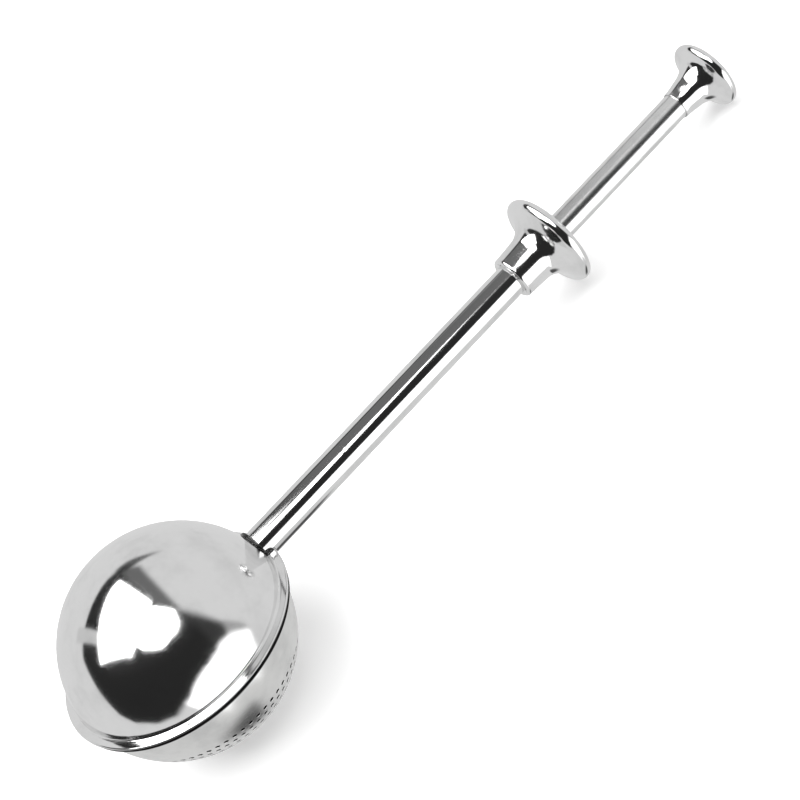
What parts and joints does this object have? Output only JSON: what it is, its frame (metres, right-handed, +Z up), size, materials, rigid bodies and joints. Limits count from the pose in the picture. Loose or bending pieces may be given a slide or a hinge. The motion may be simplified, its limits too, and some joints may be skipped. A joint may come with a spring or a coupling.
{
  "type": "push-pull ball tea infuser",
  "caption": "Ball tea infuser on a slim tube handle. Pushing the thumb knob towards the finger flange slides the perforated half of the ball out from under the dome.",
  "frame": {"origin": "middle of the bounding box on the surface that the infuser lies on, with the bottom of the strainer and the lower edge of the knob both touching it", "axes": "+X from the ball towards the knob, +Z up. The handle slopes down towards the knob by 5.86 degrees. The dome is on top and the strainer below"},
  "size_m": [0.1752, 0.0486, 0.0429],
  "materials": {
    "dome_shell": "mirror-polished stainless steel",
    "tube_foot": "polished stainless steel",
    "handle_tube": "drawn stainless tube, bright, with a faint lengthwise grain",
    "finger_flange": "polished stainless steel, spun",
    "flange_cover": "polished stainless steel, pressed",
    "strainer_shell": "bright stainless steel, punched with small round holes",
    "push_rod": "satin stainless tube, polished along its length by the sliding",
    "rod_tip_plug": "plain stainless steel",
    "rod_saddle": "plain stainless strip",
    "knob_shell": "polished stainless steel, spun",
    "knob_cover": "polished stainless steel, pressed"
  },
  "bodies": {
    "handle": {"dome_shell": "dome_shell", "tube_foot": "tube_foot", "handle_tube": "handle_tube", "finger_flange": "finger_flange", "flange_cover": "flange_cover"},
    "slider": {"strainer_shell": "strainer_shell", "push_rod": "push_rod", "rod_tip_plug": "rod_tip_plug", "rod_saddle": "rod_saddle", "knob_shell": "knob_shell", "knob_cover": "knob_cover"}
  },
  "joints": [
    {"name": "rod_slide", "type": "slide", "parent": "handle", "child": "slider", "axis": [-0.9948, 0, 0.1022], "range_m": [0, 0.0364]}
  ]
}
